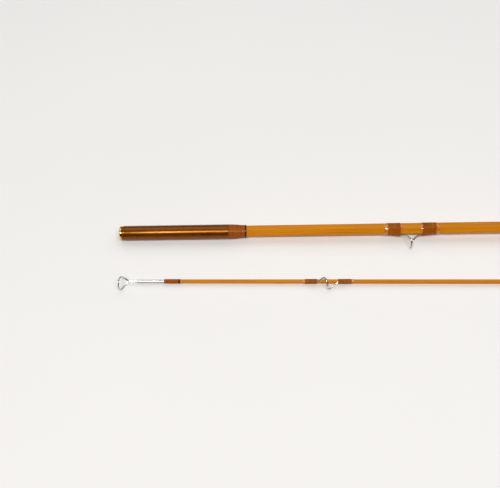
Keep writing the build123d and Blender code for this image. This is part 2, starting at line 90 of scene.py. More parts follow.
CAMERA_LENS, SENSOR = 55.0, 36.0
CAMERA_ELEVATION, CAMERA_AZIMUTH, CAMERA_DISTANCE = 60.0, -0.70, 0.3855
VIEW_CENTRE = (0.0652, -0.00415)
FOCUS_ALONG = 65


def make_camera():
    """Looks at a floor point to the right of the ferrule's mouth and a little nearer."""
    data = bpy.data.cameras.new("camera")
    data.lens, data.sensor_width = CAMERA_LENS, SENSOR
    data.clip_start, data.clip_end = 0.01, 50
    camera = bpy.data.objects.new("camera", data)
    azimuth = Matrix.Rotation(math.radians(CAMERA_AZIMUTH), 3, "Z")
    elevation = math.radians(CAMERA_ELEVATION)
    back = azimuth @ Vector((0, -math.cos(elevation), math.sin(elevation)))
    target = BUTT.matrix.translation + azimuth @ Vector((*VIEW_CENTRE, 0))
    target.z = 0
    camera.location = target + back * CAMERA_DISTANCE
    camera.rotation_mode = "QUATERNION"
    camera.rotation_quaternion = (-back).to_track_quat("-Z", "Y")
    bpy.context.scene.collection.objects.link(camera)
    bpy.context.scene.camera = camera


def area_light(name, focus, offset, size, power, colour=(1, 1, 1)):
    """A rectangular light that looks at the focus from a place beside it."""
    data = bpy.data.lights.new(name, "AREA")
    data.shape = "RECTANGLE"
    data.size, data.size_y = size
    data.energy, data.color = power, colour
    light = bpy.data.objects.new(name, data)
    light.location = focus + Vector(offset)
    light.rotation_mode = "QUATERNION"
    light.rotation_quaternion = (-Vector(offset)).to_track_quat("-Z", "Y")
    bpy.context.scene.collection.objects.link(light)


def make_studio():
    focus = BUTT.matrix @ Vector((FOCUS_ALONG, 0, 0))
    world = bpy.data.worlds.new("studio")
    bpy.context.scene.world = world
    world.use_nodes = True
    background = world.node_tree.nodes["Background"]
    background.inputs["Color"].default_value = (0.97, 0.98, 1.0, 1)
    background.inputs["Strength"].default_value = 0.06
    area_light("softbox", focus, (0.08, -0.46, 1.04), (0.84, 0.20), 7.2, (1.0, 0.97, 0.93))
    area_light("near_end", focus, (-0.24, -0.46, 1.04), (0.15, 0.20), 3.0, (1.0, 0.96, 0.91))
    area_light("overhead", focus, (0.1, 0.75, 1.1), (2.4, 1.2), 10.5)
    bpy.ops.mesh.primitive_plane_add(size=12, location=(0, 0, 0))
    floor = bpy.context.object
    floor.name = "floor"
    floor.data.materials.append(floor_material())
    bpy.context.scene.view_settings.view_transform = "Standard"


# ---------- materials ----------

class Paint:
    """Builds one node material step by step."""

    def __init__(self, name):
        self.material = bpy.data.materials.new(name)
        self.material.use_nodes = True
        self.nodes = self.material.node_tree.nodes
        self.links = self.material.node_tree.links
        self.shader = self.nodes["Principled BSDF"]

    def set(self, **values):
        for name, value in values.items():
            socket = self.shader.inputs[name.replace("_", " ")]
            colour = isinstance(value, tuple) and socket.type == "RGBA"
            socket.default_value = (*value, 1) if colour else value
        return self

    def link(self, source, target):
        self.links.new(source, target)

    def to(self, name, source):
        self.links.new(source, self.shader.inputs[name])

    def node(self, kind, **settings):
        node = self.nodes.new(kind)
        for name, value in settings.items():
            setattr(node, name, value)
        return node

    def mapped(self, source, scale, shift):
        mapping = self.node("ShaderNodeMapping")
        mapping.inputs["Scale"].default_value = scale
        mapping.inputs["Location"].default_value = shift
        self.link(source, mapping.inputs["Vector"])
        return mapping.outputs["Vector"]

    def rod_uv(self, scale=(1, 1, 1), shift=(0, 0, 0)):
        """Millimetres along and around the piece, scaled."""
        return self.mapped(self.node("ShaderNodeUVMap", uv_map="rod").outputs["UV"], scale, shift)

    def space(self, scale):
        """Place in the shared frame, scaled."""
        return self.mapped(self.node("ShaderNodeTexCoord").outputs["Object"], scale, (0, 0, 0))

    def noise(self, vector, detail=3.0, roughness=0.5, distortion=0.0):
        noise = self.node("ShaderNodeTexNoise")
        settings = dict(Scale=1.0, Detail=detail, Roughness=roughness, Distortion=distortion)
        for name, value in settings.items():
            noise.inputs[name].default_value = value
        self.link(vector, noise.inputs["Vector"])
        return noise.outputs["Fac"]

    def ramp(self, factor, stops):
        """Colour by factor; stops are (place, colour) with a grey number or an RGB colour."""
        ramp = self.node("ShaderNodeValToRGB")
        elements = ramp.color_ramp.elements
        while len(elements) < len(stops):
            elements.new(0.5)
        for element, (place, colour) in zip(elements, stops):
            rgb = colour if isinstance(colour, tuple) else (colour, colour, colour)
            element.position, element.color = place, (*rgb, 1)
        self.link(factor, ramp.inputs["Fac"])
        return ramp.outputs["Color"]

    def math(self, operation, first, second=None):
        node = self.node("ShaderNodeMath", operation=operation)
        for socket, value in zip(node.inputs, (first, second)):
            if isinstance(value, (int, float)):
                socket.default_value = value
            elif value is not None:
                self.link(value, socket)
        return node.outputs[0]

    def mix(self, factor, first, second, blend="MIX"):
        node = self.node("ShaderNodeMix", data_type="RGBA", blend_type=blend)
        for socket, value in ((node.inputs[0], factor), (node.inputs[6], first), (node.inputs[7], second)):
            if isinstance(value, (int, float)):
                socket.default_value = value
            elif isinstance(value, tuple):
                socket.default_value = (*value, 1)
            else:
                self.link(value, socket)
        return node.outputs[2]

    def bump(self, height, distance):
        """Surface relief of that many metres for a height of 1."""
        bump = self.node("ShaderNodeBump")
        bump.inputs["Distance"].default_value = distance
        self.link(height, bump.inputs["Height"])
        self.to("Normal", bump.outputs["Normal"])

    def split(self, vector):
        node = self.node("ShaderNodeSeparateXYZ")
        self.link(vector, node.inputs[0])
        return node.outputs


def floor_material():
    paint = Paint("pale_table").set(Roughness=0.85)
    wide = paint.noise(paint.space((3, 3, 3)), 4)
    paint.to("Base Color", paint.ramp(wide, [(0.3, (0.86, 0.86, 0.865)), (0.7, (0.89, 0.89, 0.89))]))
    return paint.material


def cane_material(name, number, shade, first_node):
    """Varnished bamboo: lengthwise fibres, a few dark ones, slow changes of tone, and its nodes."""
    paint = Paint(name).set(
        Roughness=0.45, Coat_Weight=0.25, Coat_Roughness=0.20, Coat_IOR=1.4, Specular_IOR_Level=0.1,
    )
    shift = (17.0 * number, 5.3 * number, 0)
    slow = paint.noise(paint.rod_uv((0.012, 0.15, 1), shift), 2)
    fibres = paint.noise(paint.rod_uv((0.03, 2.2, 1), shift), 4, 0.6)
    fine = paint.noise(paint.rod_uv((0.10, 9.0, 1), shift), 3, 0.6)
    dark = paint.noise(paint.rod_uv((0.045, 5.0, 1), shift[::-1]), 2, 0.5)
    low = tuple(c * shade for c in CANE_LOW)
    high = tuple(c * shade for c in CANE_HIGH)
    colour = paint.ramp(fibres, [(0.30, low), (0.72, high)])
    tone = paint.ramp(slow, [(0.3, 0.90), (0.7, 1.08)])
    colour = paint.mix(1.0, colour, tone, "MULTIPLY")
    streak = paint.ramp(dark, [(0.62, 0.0), (0.72, 0.6)])
    colour = paint.mix(streak, colour, tuple(c * 0.5 for c in low))
    pale = paint.ramp(fine, [(0.60, 0.0), (0.80, 0.4)])
    colour = paint.mix(pale, colour, tuple(min(1, c * 1.25) for c in high))
    along = paint.math("SUBTRACT", paint.split(paint.rod_uv())[0], first_node)
    along = paint.math("MAXIMUM", paint.math("DIVIDE", along, NODE_SPACING), -0.5)
    away = paint.math("SUBTRACT", paint.math("FRACT", paint.math("ADD", along, 0.5)), 0.5)
    wander = paint.math("MULTIPLY", paint.math("SUBTRACT", fibres, 0.5), 0.004)
    ragged = paint.math("ADD", paint.math("ABSOLUTE", away), wander)
    mark = paint.ramp(paint.math("MULTIPLY", ragged, NODE_SPACING / 5), [(0.06, 0.85), (0.55, 0.0)])
    colour = paint.mix(mark, colour, tuple(c * 0.35 for c in low))
    paint.to("Base Color", colour)
    paint.to("Roughness", paint.ramp(fine, [(0.3, 0.40), (0.8, 0.52)]))
    paint.bump(fine, 0.000012)
    return paint.material


def worked_metal(paint):
    """Slow clouds of tarnish, and fine scratches round or along the metal."""
    cloud = paint.noise(paint.space((160, 400, 400)), 5, 0.6)
    scratch = paint.noise(paint.rod_uv((5.0, 0.35, 1)), 3, 0.7)
    return cloud, paint.mix(0.5, cloud, scratch)


def metal_material(name, colour, roughness, tarnish, coat=0.0):
    paint = Paint(name).set(Metallic=1.0, Coat_Weight=coat, Coat_Roughness=0.05)
    cloud, wear = worked_metal(paint)
    darker = tuple(c * (1 - tarnish) for c in colour)
    paint.to("Base Color", paint.ramp(cloud, [(0.30, darker), (0.65, colour)]))
    paint.to("Roughness", paint.ramp(wear, [(0.35, roughness - 0.04), (0.70, roughness + 0.05)]))
    return paint.material


def bronze_material():
    """Brown bronzing under clear lacquer: a dark ground with an orange sheen, a little rubbed."""
    paint = Paint("ferrule_bronze").set(
        Metallic=0.1, IOR=2.1, Specular_Tint=(1.0, 0.40, 0.04), Coat_Weight=0.12, Coat_Roughness=0.12,
    )
    cloud, wear = worked_metal(paint)
    stops = [(0.30, (0.065, 0.011, 0.0003)), (0.65, (0.12, 0.024, 0.0006))]
    paint.to("Base Color", paint.ramp(cloud, stops))
    paint.to("Roughness", paint.ramp(wear, [(0.35, 0.25), (0.70, 0.33)]))
    return paint.material


def silk_material(name, low, high, coat=0.15, coat_roughness=0.12):
    """Close-wound silk under varnish: each turn of thread a little different, and gathered in bands."""
    paint = Paint(name).set(
        Roughness=0.50, Coat_Weight=coat, Coat_Roughness=coat_roughness, Coat_IOR=1.4, Specular_IOR_Level=0.1,
    )
    turns = paint.noise(paint.rod_uv((1.0 / THREAD_PITCH, 0.02, 1)), 1)
    bands = paint.noise(paint.rod_uv((0.9, 0.03, 1)), 3, 0.6)
    patches = paint.noise(paint.rod_uv((0.35, 0.5, 1)), 2)
    shade = paint.math("ADD", paint.math("MULTIPLY", turns, 0.35), paint.math("MULTIPLY", bands, 0.45))
    shade = paint.math("ADD", shade, paint.math("MULTIPLY", patches, 0.2))
    paint.to("Base Color", paint.ramp(shade, [(0.34, low), (0.66, high)]))
    paint.bump(turns, 0.000015)
    return paint.material


def varnish_material():
    """Varnish run out over the cane at the edge of a wrap."""
    paint = Paint("varnish_edge").set(
        Roughness=0.4, Coat_Weight=1.0, Coat_Roughness=0.07, Coat_IOR=1.75, Specular_IOR_Level=0.1,
    )
    streaks = paint.noise(paint.rod_uv((0.2, 2.2, 1)), 3, 0.6)
    paint.to("Base Color", paint.ramp(streaks, [(0.30, (0.44, 0.125, 0.001)), (0.72, (0.68, 0.24, 0.003))]))
    return paint.material


def cork_material():
    paint = Paint("cork").set(Roughness=0.78, Specular_IOR_Level=0.3)
    ring = paint.math("FLOOR", paint.math("DIVIDE", paint.split(paint.rod_uv())[0], CORK_RING))
    chance = paint.node("ShaderNodeTexWhiteNoise", noise_dimensions="1D")
    paint.link(ring, chance.inputs["W"])
    grain = paint.noise(paint.rod_uv((0.9, 0.9, 1)), 5, 0.65)
    specks = paint.noise(paint.rod_uv((2.6, 1.5, 1)), 3, 0.6)
    colour = paint.ramp(grain, [
        (0.25, (0.47, 0.27, 0.12)), (0.60, (0.66, 0.44, 0.23)), (0.85, (0.74, 0.53, 0.30)),
    ])
    tone = paint.ramp(chance.outputs["Value"], [(0.0, 0.86), (1.0, 1.08)])
    colour = paint.mix(1.0, colour, tone, "MULTIPLY")
    pits = paint.ramp(specks, [(0.30, 1.0), (0.38, 0.0)])
    colour = paint.mix(pits, colour, (0.16, 0.07, 0.03))
    paint.to("Base Color", colour)
    paint.bump(specks, 0.00012)
    return paint.material


def wood_material():
    paint = Paint("seat_wood").set(Roughness=0.35, Coat_Weight=0.6, Coat_Roughness=0.12)
    rings = paint.noise(paint.rod_uv((0.035, 0.55, 1)), 4, 0.55, 1.2)
    pores = paint.noise(paint.rod_uv((0.25, 7.0, 1)), 3, 0.6)
    colour = paint.ramp(rings, [
        (0.30, (0.060, 0.022, 0.009)), (0.52, (0.17, 0.066, 0.024)), (0.75, (0.26, 0.115, 0.045)),
    ])
    colour = paint.mix(paint.ramp(pores, [(0.56, 0.0), (0.68, 0.7)]), colour, (0.03, 0.012, 0.006))
    paint.to("Base Color", colour)
    paint.to("Roughness", paint.ramp(pores, [(0.3, 0.30), (0.7, 0.50)]))
    paint.bump(pores, 0.00003)
    return paint.material


def agate_material():
    paint = Paint("agate").set(
        Roughness=0.08, Subsurface_Weight=0.35, Subsurface_Radius=(0.9, 0.35, 0.12),
        Subsurface_Scale=0.002, Coat_Weight=0.5,
    )
    bands = paint.noise(paint.rod_uv((0.9, 0.18, 1)), 4, 0.5, 2.5)
    paint.to("Base Color", paint.ramp(bands, [
        (0.30, (0.33, 0.045, 0.012)), (0.5, (0.62, 0.16, 0.04)), (0.72, (0.80, 0.42, 0.16)),
    ]))
    return paint.material


# ---------- mesh building ----------

def travel(points, start=0.0):
    """How far along a line each of its points is."""
    return start + np.concatenate([[0.0], np.cumsum(np.linalg.norm(np.diff(points, axis=0), axis=1))])


def skin(rings, around_mm=None, along_mm=None, looped=False):
    """A closed skin over rings of points: (points, faces, uv of each face corner)."""
    rings = np.asarray(rings, float)
    count, size = rings.shape[:2]
    if along_mm is None:
        along_mm = rings.mean(axis=1)[:, 0]
    if around_mm is None:
        middle = rings[count // 2]
        around_mm = travel(np.vstack([middle, middle[:1]]))
    points = rings.reshape(-1, 3)
    last = count if looped else count - 1
    first_ring, j = np.divmod(np.arange(last * size), size)
    next_ring, k = (first_ring + 1) % count, (j + 1) % size
    faces = np.stack([
        first_ring * size + j, next_ring * size + j, next_ring * size + k, first_ring * size + k,
    ], axis=1)
    u_first, u_next = along_mm[first_ring], along_mm[next_ring]
    v_first, v_next = around_mm[j], around_mm[j + 1]
    corners = np.stack([
        np.stack([u_first, v_first], 1), np.stack([u_next, v_first], 1),
        np.stack([u_next, v_next], 1), np.stack([u_first, v_next], 1),
    ], axis=1).reshape(-1, 2)
    faces = [tuple(f) for f in faces.tolist()]
    if not looped:
        faces.append(tuple(range(size)))
        corners = np.vstack([corners, np.stack([np.full(size, along_mm[0]), around_mm[:-1]], 1)])
        end = (count - 1) * size
        faces.append(tuple(range(end + size - 1, end - 1, -1)))
        corners = np.vstack([corners, np.stack([np.full(size, along_mm[-1]), around_mm[:-1][::-1]], 1)])
    return points, faces, corners


def joined(*skins):
    """Several skins as one mesh."""
    faces, shift = [], 0
    for points, some_faces, corners in skins:
        faces += [tuple(i + shift for i in face) for face in some_faces]
        shift += len(points)
    return np.vstack([s[0] for s in skins]), faces, np.vstack([s[2] for s in skins])


def piece(name, shape, section, material, nodes, body=None, sharp=40.0):
    """Makes a piece from a skin, in the place of the CAD nodes named."""
    points, faces, corners = shape
    mesh = bpy.data.meshes.new(name)
    mesh.from_pydata(section.place(points), [], faces)
    layer = mesh.uv_layers.new(name="rod")
    layer.data.foreach_set("uv", np.asarray(corners, np.float32).ravel())
    edit = bmesh.new()
    edit.from_mesh(mesh)
    bmesh.ops.recalc_face_normals(edit, faces=edit.faces)
    edit.to_mesh(mesh)
    edit.free()
    mesh.polygons.foreach_set("use_smooth", [True] * len(mesh.polygons))
    mesh.set_sharp_from_angle(angle=math.radians(sharp))
    mesh.materials.append(material)
    made = bpy.data.objects.new(name, mesh)
    bpy.context.scene.collection.objects.link(made)
    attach(made, body or section.body)
    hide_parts(*nodes)
    return made


def angles(count):
    return np.linspace(0, 2 * np.pi, count, endpoint=False)


def circle(count, phase=0.0):
    return np.cos(angles(count) + phase), np.sin(angles(count) + phase)


def round_ring(along, radius, angle):
    """A ring about the rod's axis; the radius may be a number for each angle."""
    return np.column_stack([np.full(len(angle), along), radius * np.cos(angle), radius * np.sin(angle)])


def rounded(outline, radius, closed, steps=4):
    """The outline with its corners rounded, by at most a third of the shorter side."""
    outline = [np.array(p, float) for p in outline]
    count = len(outline)
    result = []
    for i, point in enumerate(outline):
        if not closed and i in (0, count - 1):
            result.append(point)
            continue
        before, after = outline[i - 1], outline[(i + 1) % count]
        back, ahead = before - point, after - point
        cut = min(radius, np.linalg.norm(back) / 3, np.linalg.norm(ahead) / 3)
        start = point + back / np.linalg.norm(back) * cut
        end = point + ahead / np.linalg.norm(ahead) * cut
        for t in np.linspace(0, 1, steps + 1):
            result.append((1 - t) ** 2 * start + 2 * t * (1 - t) * point + t ** 2 * end)
    return np.array(result)


def turned(outline, radius=0.15, closed=True, count=96, steps=4, centre=(0, 0)):
    """A turned piece from its outline of (along, radius); an open outline is capped at its ends."""
    profile = rounded(outline, radius, closed, steps)
    cos, sin = circle(count)
    rings = np.stack([
        np.repeat(profile[:, :1], count, axis=1),
        centre[0] + profile[:, 1:] * cos,
        centre[1] + profile[:, 1:] * sin,
    ], axis=2)
    around = np.linspace(0, 2 * np.pi * profile[:, 1].max(), count + 1)
    return skin(rings, around, travel(profile, profile[0, 0]), looped=closed)


def curve_through(points, start_way, end_way, samples):
    """A smooth curve through the points that leaves and arrives in the directions given."""
    points = np.array(points, float)
    t = travel(points)
    chord = np.diff(t)
    count = len(points)
    system, right = np.zeros((count, count)), np.zeros((count, 3))
    system[0, 0] = system[-1, -1] = 1
    right[0] = np.array(start_way, float) / np.linalg.norm(start_way)
    right[-1] = np.array(end_way, float) / np.linalg.norm(end_way)
    for i in range(1, count - 1):
        before, after = chord[i - 1], chord[i]
        system[i, i - 1], system[i, i], system[i, i + 1] = after, 2 * (before + after), before
        right[i] = 3 * (
            after / before * (points[i] - points[i - 1]) + before / after * (points[i + 1] - points[i])
        )
    slope = np.linalg.solve(system, right)
    where = np.linspace(0, t[-1], samples)
    span = np.clip(np.searchsorted(t, where, side="right") - 1, 0, count - 2)
    h = chord[span]
    x = ((where - t[span]) / h)[:, None]
    h = h[:, None]
    return (
        (2 * x ** 3 - 3 * x ** 2 + 1) * points[span] + (x ** 3 - 2 * x ** 2 + x) * h * slope[span]
        + (-2 * x ** 3 + 3 * x ** 2) * points[span + 1] + (x ** 3 - x ** 2) * h * slope[span + 1]
    )


def wire(path, wide, high=None, count=24, up=(0, 0, 1), looped=False):
    """A wire along a path; wide and high are its half sizes at each point, across and up."""
    path = np.asarray(path, float)
    wide = np.broadcast_to(np.asarray(wide, float), len(path))
    high = wide if high is None else np.broadcast_to(np.asarray(high, float), len(path))
    way = np.gradient(path, axis=0)
    if looped:
        way = np.roll(path, -1, axis=0) - np.roll(path, 1, axis=0)
    way /= np.linalg.norm(way, axis=1)[:, None]
    lift = np.array(up, float)
    lifts = []
    for direction in way:
        lift = lift - direction * (lift @ direction)
        lift /= np.linalg.norm(lift)
        lifts.append(lift)
    lifts = np.array(lifts)
    sides = np.cross(lifts, way)
    cos, sin = circle(count)
    rings = (
        path[:, None] + sides[:, None] * (wide[:, None] * cos)[..., None]
        + lifts[:, None] * (high[:, None] * sin)[..., None]
    )
    return skin(rings, None, travel(path), looped=looped)


def ease(value, low, high):
    """0 below low, 1 above high, smooth between."""
    t = np.clip((np.asarray(value, float) - low) / (high - low), 0, 1)
    return t * t * (3 - 2 * t)


# ---------- cane ----------

CANE_LOW, CANE_HIGH = (0.50, 0.155, 0.0008), (0.76, 0.285, 0.004)

BUTT_CANE = [(30.5, 5.20), (200.0, 5.40), (480.0, 6.30), (890.0, 7.90), (1148.0, 8.20)]
TIP_CANE = [(12.0, 1.78), (190.0, 2.05), (1140.0, 5.15)]
BUTT_EDGE, TIP_EDGE = 0.34, 0.16
NODE_SPACING, NODE_LENGTH, NODE_RISE = 365.0, 9.0, 0.05


def flats_at(cane, along):
    stations, widths = zip(*cane)
    return np.interp(along, stations, widths)


def strip_side(flats, edge):
    """The outer side of a strip, as (y, z): a rounded corner at 0 degrees, and one at 60."""
    centre = (flats / 2 - edge) / math.cos(math.radians(30))
    side = []
    for corner, sweep in ((0, (0, 10, 20, 30)), (60, (-30, -20, -10, 0))):
        for step in sweep:
            c, a = math.radians(corner), math.radians(corner + step)
            side.append((
                centre * math.cos(c) + edge * math.cos(a), centre * math.sin(c) + edge * math.sin(a),
            ))
    return side


def cane_strip(cane, index, edge, ends, turned_down, first_node):
    """One glued strip: a wedge from the axis out to its varnished side.

    turned_down lists (start, end, radius) of the stretches that are turned to fit a fitting.
    """
    nodes = np.arange(first_node, SECTION_LENGTH, NODE_SPACING)
    stations = set(np.linspace(*ends, 120))
    for node in nodes:
        stations.update(np.linspace(node - NODE_LENGTH, node + NODE_LENGTH, 25))
    for start, end, radius in turned_down:
        stations.update((start, start + 0.01, end - 0.01, end))
    stations = [s for s in sorted(stations) if ends[0] <= s <= ends[1]]
    turn = math.radians(60 * index)
    out = np.array((math.cos(math.radians(30)), math.sin(math.radians(30))))
    rings = []
    for along in stations:
        rise = sum(NODE_RISE * math.exp(-((along - node) / 2.6) ** 2) for node in nodes)
        side = np.array(strip_side(flats_at(cane, along), edge))
        lower, upper = side[:len(side) // 2], side[len(side) // 2:]
        across = [
            lower[-1] * (1 - t) + upper[0] * t + out * rise * 4 * t * (1 - t) for t in (0.25, 0.5, 0.75)
        ]
        ring = np.vstack([[(0.0, 0.0)], lower, across, upper])
        limit = min([r for start, end, r in turned_down if start < along < end], default=100.0)
        reach = np.maximum(np.linalg.norm(ring, axis=1), 1e-6)
        ring *= np.minimum(1, limit / reach)[:, None]
        y, z = ring.T
        rings.append(np.column_stack([
            np.full(len(ring), along), y * math.cos(turn) - z * math.sin(turn),
            y * math.sin(turn) + z * math.cos(turn),
        ]))
    return skin(rings)


def make_cane(section, prefix, cane, edge, ends, turned_down, first, shades):
    for index, shade in enumerate(shades):
        name = f"{prefix}_strip_{index + 1}"
        # The nodes of neighbouring strips are staggered.
        first_node = first + (index * 2 % 6) * NODE_SPACING / 6
        number = index + (7 if section is TIP else 0)
        material = cane_material(f"{prefix}_cane_{index + 1}", number, shade, first_node)
        shape = cane_strip(cane, index, edge, ends, turned_down, first_node)
        piece(f"{name}_cane", shape, section, material, [name], sharp=50)


# ---------- silk wraps ----------

THREAD = 0.22
THREAD_PITCH = 0.17
THREAD_RELIEF = 0.006
DIRECTIONS = 72
WRAP_LAP = 0.5                # of the varnish, under a wrap's outer end
WRAP_GIRTH = 6 * math.pi


def eased_hexagon(flats):
    """Points round a cane as thread lies over it, its corners filled and eased."""
    ease_radius = min(1.0, 0.185 * flats)
    reach = (flats / 2 - ease_radius) / math.cos(math.radians(30))
    points = []
    for corner in range(0, 360, 60):
        for turn in range(corner - 30, corner + 31, 6):
            points.append((
                reach * math.cos(math.radians(corner)) + ease_radius * math.cos(math.radians(turn)),
                reach * math.sin(math.radians(corner)) + ease_radius * math.sin(math.radians(turn)),
            ))
    return points


def bare(cane):
    """What lies under a wrap, or under varnish, where there is only cane."""
    return lambda along: eased_hexagon(flats_at(cane, along))


def hull_ring(along, points, thickness):
    """The ring at a distance from the hull of the points, one point for each direction."""
    out = np.column_stack(circle(DIRECTIONS, math.pi / DIRECTIONS))
    points = np.array(points, float)
    furthest = points[np.argmax(out @ points.T, axis=1)]
    outline = furthest + out * np.broadcast_to(thickness, DIRECTIONS)[:, None]
    return np.column_stack([np.full(DIRECTIONS, along), outline])


def sleeve(rings):
    """A skin whose rings go along the rod on the outside and come back on the inside."""
    along = np.array([ring[0, 0] for ring in rings])
    return skin(rings, np.linspace(0, WRAP_GIRTH, DIRECTIONS + 1), along, looped=True)


def wound(start, end, under, full=THREAD, taper=0.45):
    """Thread wound from start to end over what is under it; under(along) gives points to hold."""
    stations = np.linspace(start, end, int((end - start) / THREAD_PITCH * 5) + 1)
    phase = np.arange(DIRECTIONS) / DIRECTIONS
    rings = []
    for along in stations:
        edge = min(along - start, end - along)
        cover = math.sqrt(max(0.0, 1 - (1 - min(1.0, edge / taper)) ** 2))
        thread = THREAD_RELIEF * np.cos(2 * np.pi * ((along - start) / THREAD_PITCH + phase))
        thickness = 0.03 + (full - 0.03) * cover + thread * min(1.0, cover * 1.2)
        rings.append(hull_ring(along, under(along), thickness))
    return sleeve(rings + [hull_ring(along, under(along), 0.012) for along in np.linspace(end, start, 12)])


def wrap_pieces(name, node, section, silk, varnish, wraps, edges):
    """The silk of a pair of wraps, and the varnish at their edges."""
    piece(f"{name}_silk", joined(*wraps), section, silk, [node])
    piece(f"{name}_varnish", joined(*edges), section, varnish, [node])


def run_out(at, way, under, length=1.8):
    """Varnish run out from the edge of a wrap: a round collar that sinks onto what is beside it."""
    cos, sin = circle(DIRECTIONS)

    def ring(step, thickness):
        along = at + way * length * step
        points = under(along)
        collar = np.linalg.norm(points, axis=1).max() * (1.02 - 0.16 * step ** 4)
        return hull_ring(along, [*points, *zip(collar * cos, collar * sin)], thickness)

    steps = np.linspace(0, 1, 10)
    outside = [ring(step, 0.02 + 0.5 * THREAD * (1 - step) ** 2) for step in steps]
    return sleeve(outside + [ring(step, 0.008) for step in steps[::-1]])


# ---------- snake guides ----------

# gap: between the two wraps; crown: height over the cane; sides: how far behind and ahead of the
# crown the wire is at its widest; lean: how far the crown is behind the gap's middle; wire: its
# radius; left, right: the lengths of the wraps.
GUIDE_VALUES = ("gap", "crown", "sides", "lean", "wire", "left", "right")
BUTT_GUIDE, *TIP_GUIDES = [dict(zip(GUIDE_VALUES, values)) for values in (
    ((140.8, 151.2), 7.3, (0.5, 1.2), 0.25, 0.375, 7.1, 7.7),
    ((96.5, 106.7), 3.7, (1.2, 0.9), 0.6, 0.36, 6.1, 6.7),
    ((211.4, 221.6), 4.2, (1.2, 0.9), 0.6, 0.36, 6.2, 6.8),
    ((338.3, 348.7), 4.7, (1.1, 0.9), 0.6, 0.36, 6.4, 6.9),
    ((484.2, 494.8), 5.2, (1.0, 1.0), 0.5, 0.365, 6.6, 7.1),
    ((643.1, 653.9), 5.7, (0.9, 1.0), 0.5, 0.365, 6.8, 7.3),
    ((820.9, 831.7), 6.2, (0.8, 1.1), 0.4, 0.37, 7.0, 7.5),
    ((1011.0, 1021.6), 6.8, (0.6, 1.2), 0.3, 0.375, 7.1, 7.7),
)]
GUIDE_SPREAD, SIDE_HEIGHT = 2.9, 0.5
FOOT_HALF_WIDTH, FOOT_HALF_HEIGHT = 0.52, 0.20
TOE_HALF_WIDTH, TOE_HALF_HEIGHT = 0.16, 0.05
TOE_COVER, HEEL_COVER = 0.8, 0.4


def foot_shape(distance, length, radius):
    """Half width and half height of a foot at a distance from its heel."""
    t = np.clip(distance / length, 0, 1)
    wide = radius + (FOOT_HALF_WIDTH - radius) * ease(t, 0, 0.35)
    high = radius + (FOOT_HALF_HEIGHT - radius) * ease(t, 0, 0.4)
    return (
        wide - (FOOT_HALF_WIDTH - TOE_HALF_WIDTH) * ease(t, 0.45, 1),
        high - (FOOT_HALF_HEIGHT - TOE_HALF_HEIGHT) * ease(t, 0.4, 1),
    )


def snake_guide(guide, cane):
    """The wire between the wraps, leaning out to one side and then the other, and its two feet."""
    (start, end), (behind, ahead) = guide["gap"], guide["sides"]
    radius = guide["wire"]
    flat = flats_at(cane, end + guide["right"]) / 2 + 0.01
    low, high = flat + radius, flat + guide["crown"] - radius
    middle = (start + end) / 2 - guide["lean"]
    side = low + SIDE_HEIGHT * (high - low)
    start, end = start - HEEL_COVER, end + HEEL_COVER
    arch = curve_through(
        [(start, 0, low), (middle - behind, GUIDE_SPREAD, side), (middle, 0, high),
         (middle + ahead, -GUIDE_SPREAD, side), (end, 0, low)],
        (1, 0.25, 0), (1, 0.25, 0), 90,
    )

    def foot(heel, way, length):
        distance = np.linspace(0.15, length - TOE_COVER - HEEL_COVER, 24)[::way]
        wide, high = foot_shape(distance, length - TOE_COVER - HEEL_COVER, radius)
        return np.column_stack([heel + way * distance, 0 * distance, flat + high]), wide, high

    thick = np.full(len(arch), radius)
    feet = foot(start, -1, guide["left"]), foot(end, 1, guide["right"])
    path, wide, high = (np.concatenate(parts) for parts in zip(feet[0], (arch, thick, thick), feet[1]))
    return wire(path, wide, high)


def foot_points(along, heel, toe, flat, radius):
    """The corners of a guide foot under its wrap at one place, or none beyond its toe."""
    distance, length = abs(along - heel), abs(toe - heel)
    if distance > length or (along - heel) * (toe - heel) < 0:
        return []
    wide, high = foot_shape(distance, length, radius)
    return [(side * y, flat + z) for side in (-1, 1) for y, z in ((0.7 * wide, 2 * high), (wide, high))]


def make_guide(section, guide, cane, names, metal, silk, varnish):
    guide_node, wraps_node = names
    piece(f"{guide_node}_wire", snake_guide(guide, cane), section, metal, [guide_node])
    start, end = guide["gap"]
    left, right = start - guide["left"], end + guide["right"]
    flat = flats_at(cane, right) / 2 + 0.01
    only_cane = bare(cane)

    def under(heel, toe):
        return lambda along: only_cane(along) + foot_points(along, heel, toe, flat, guide["wire"])

    wraps = (
        wound(left, start, under(start, left + TOE_COVER)),
        wound(end, right, under(end, right - TOE_COVER)),
    )
    edges = (
        run_out(start - HEEL_COVER, 1, only_cane, 1.1), run_out(end + HEEL_COVER, -1, only_cane, 1.1),
        run_out(left + WRAP_LAP, -1, only_cane), run_out(right - WRAP_LAP, 1, only_cane),
    )
    wrap_pieces(wraps_node, wraps_node, section, silk, varnish, wraps, edges)


# ---------- ferrules ----------

def round_points(radius, count=48):
    cos, sin = circle(count)
    return [*zip(radius * cos, radius * sin)]


